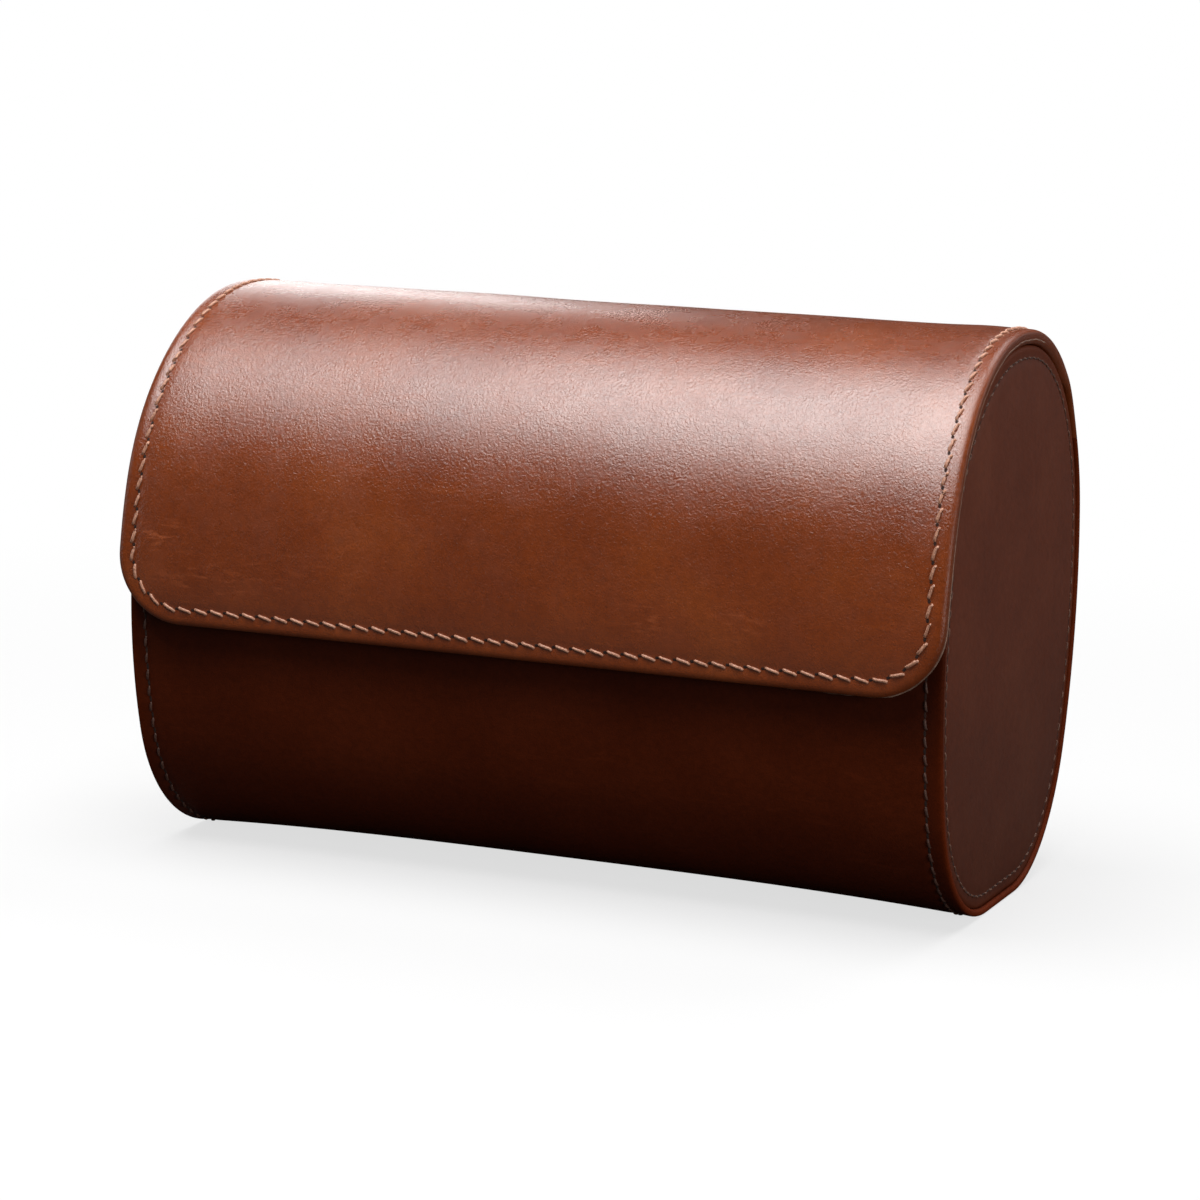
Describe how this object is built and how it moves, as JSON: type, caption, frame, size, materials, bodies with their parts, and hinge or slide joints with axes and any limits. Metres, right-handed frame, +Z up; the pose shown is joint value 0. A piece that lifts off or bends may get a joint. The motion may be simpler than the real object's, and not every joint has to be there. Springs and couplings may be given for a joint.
{
  "type": "watch travel case",
  "caption": "Oval leather-covered tube on a flat foot, with a flap on a leather hinge that folds over its opening and shuts by hidden magnets, and soft watch cushions inside.",
  "frame": {"origin": "centre of the flat foot that the case stands on", "axes": "+X along the case, -Y towards the front that the flap closes on, +Z up"},
  "size_m": [0.145, 0.0845, 0.0966],
  "materials": {
    "flap_leather": "glossy smooth pull-up leather",
    "wrap_leather": "glossy smooth pull-up leather, darker",
    "end_leather": "matte smooth leather",
    "suede": "suede lining",
    "cushion_suede": "suede",
    "board": "grey fibre board",
    "foam": "open-cell foam",
    "magnet": "nickel-plated magnet",
    "steel": "plain steel"
  },
  "bodies": {
    "case": {"wall_leather": "wrap_leather", "hinge_leather": "wrap_leather", "front_lip_binding": "wrap_leather", "wall_board": "board", "divider_board": "board", "wall_lining": "suede", "hinge_lining": "suede", "divider_lining": "suede", "wall_magnets": "magnet", "left_end_leather": "end_leather", "left_end_board": "board", "left_end_lining": "suede", "right_end_leather": "end_leather", "right_end_board": "board", "right_end_lining": "suede"},
    "flap": {"flap_leather": "flap_leather", "flap_board": "board", "flap_lining": "suede", "flap_discs": "steel"},
    "left_cushion": {"left_cushion_sleeve": "cushion_suede", "left_cushion_end_panels": "cushion_suede", "left_cushion_core": "foam"},
    "right_cushion": {"right_cushion_sleeve": "cushion_suede", "right_cushion_end_panels": "cushion_suede", "right_cushion_core": "foam"}
  },
  "joints": [
    {"name": "flap_hinge", "type": "hinge", "parent": "case", "child": "flap", "pos_m": [0, 0.03124, 0.0811], "axis": [-1, 0, 0], "range_deg": [0, 150], "deforming": ["hinge_leather", "hinge_lining"]},
    {"name": "left_cushion_lift", "type": "slide", "parent": "case", "child": "left_cushion", "axis": [0, 0, 1], "range_m": [0, 0.024]},
    {"name": "right_cushion_lift", "type": "slide", "parent": "case", "child": "right_cushion", "axis": [0, 0, 1], "range_m": [0, 0.024]}
  ]
}
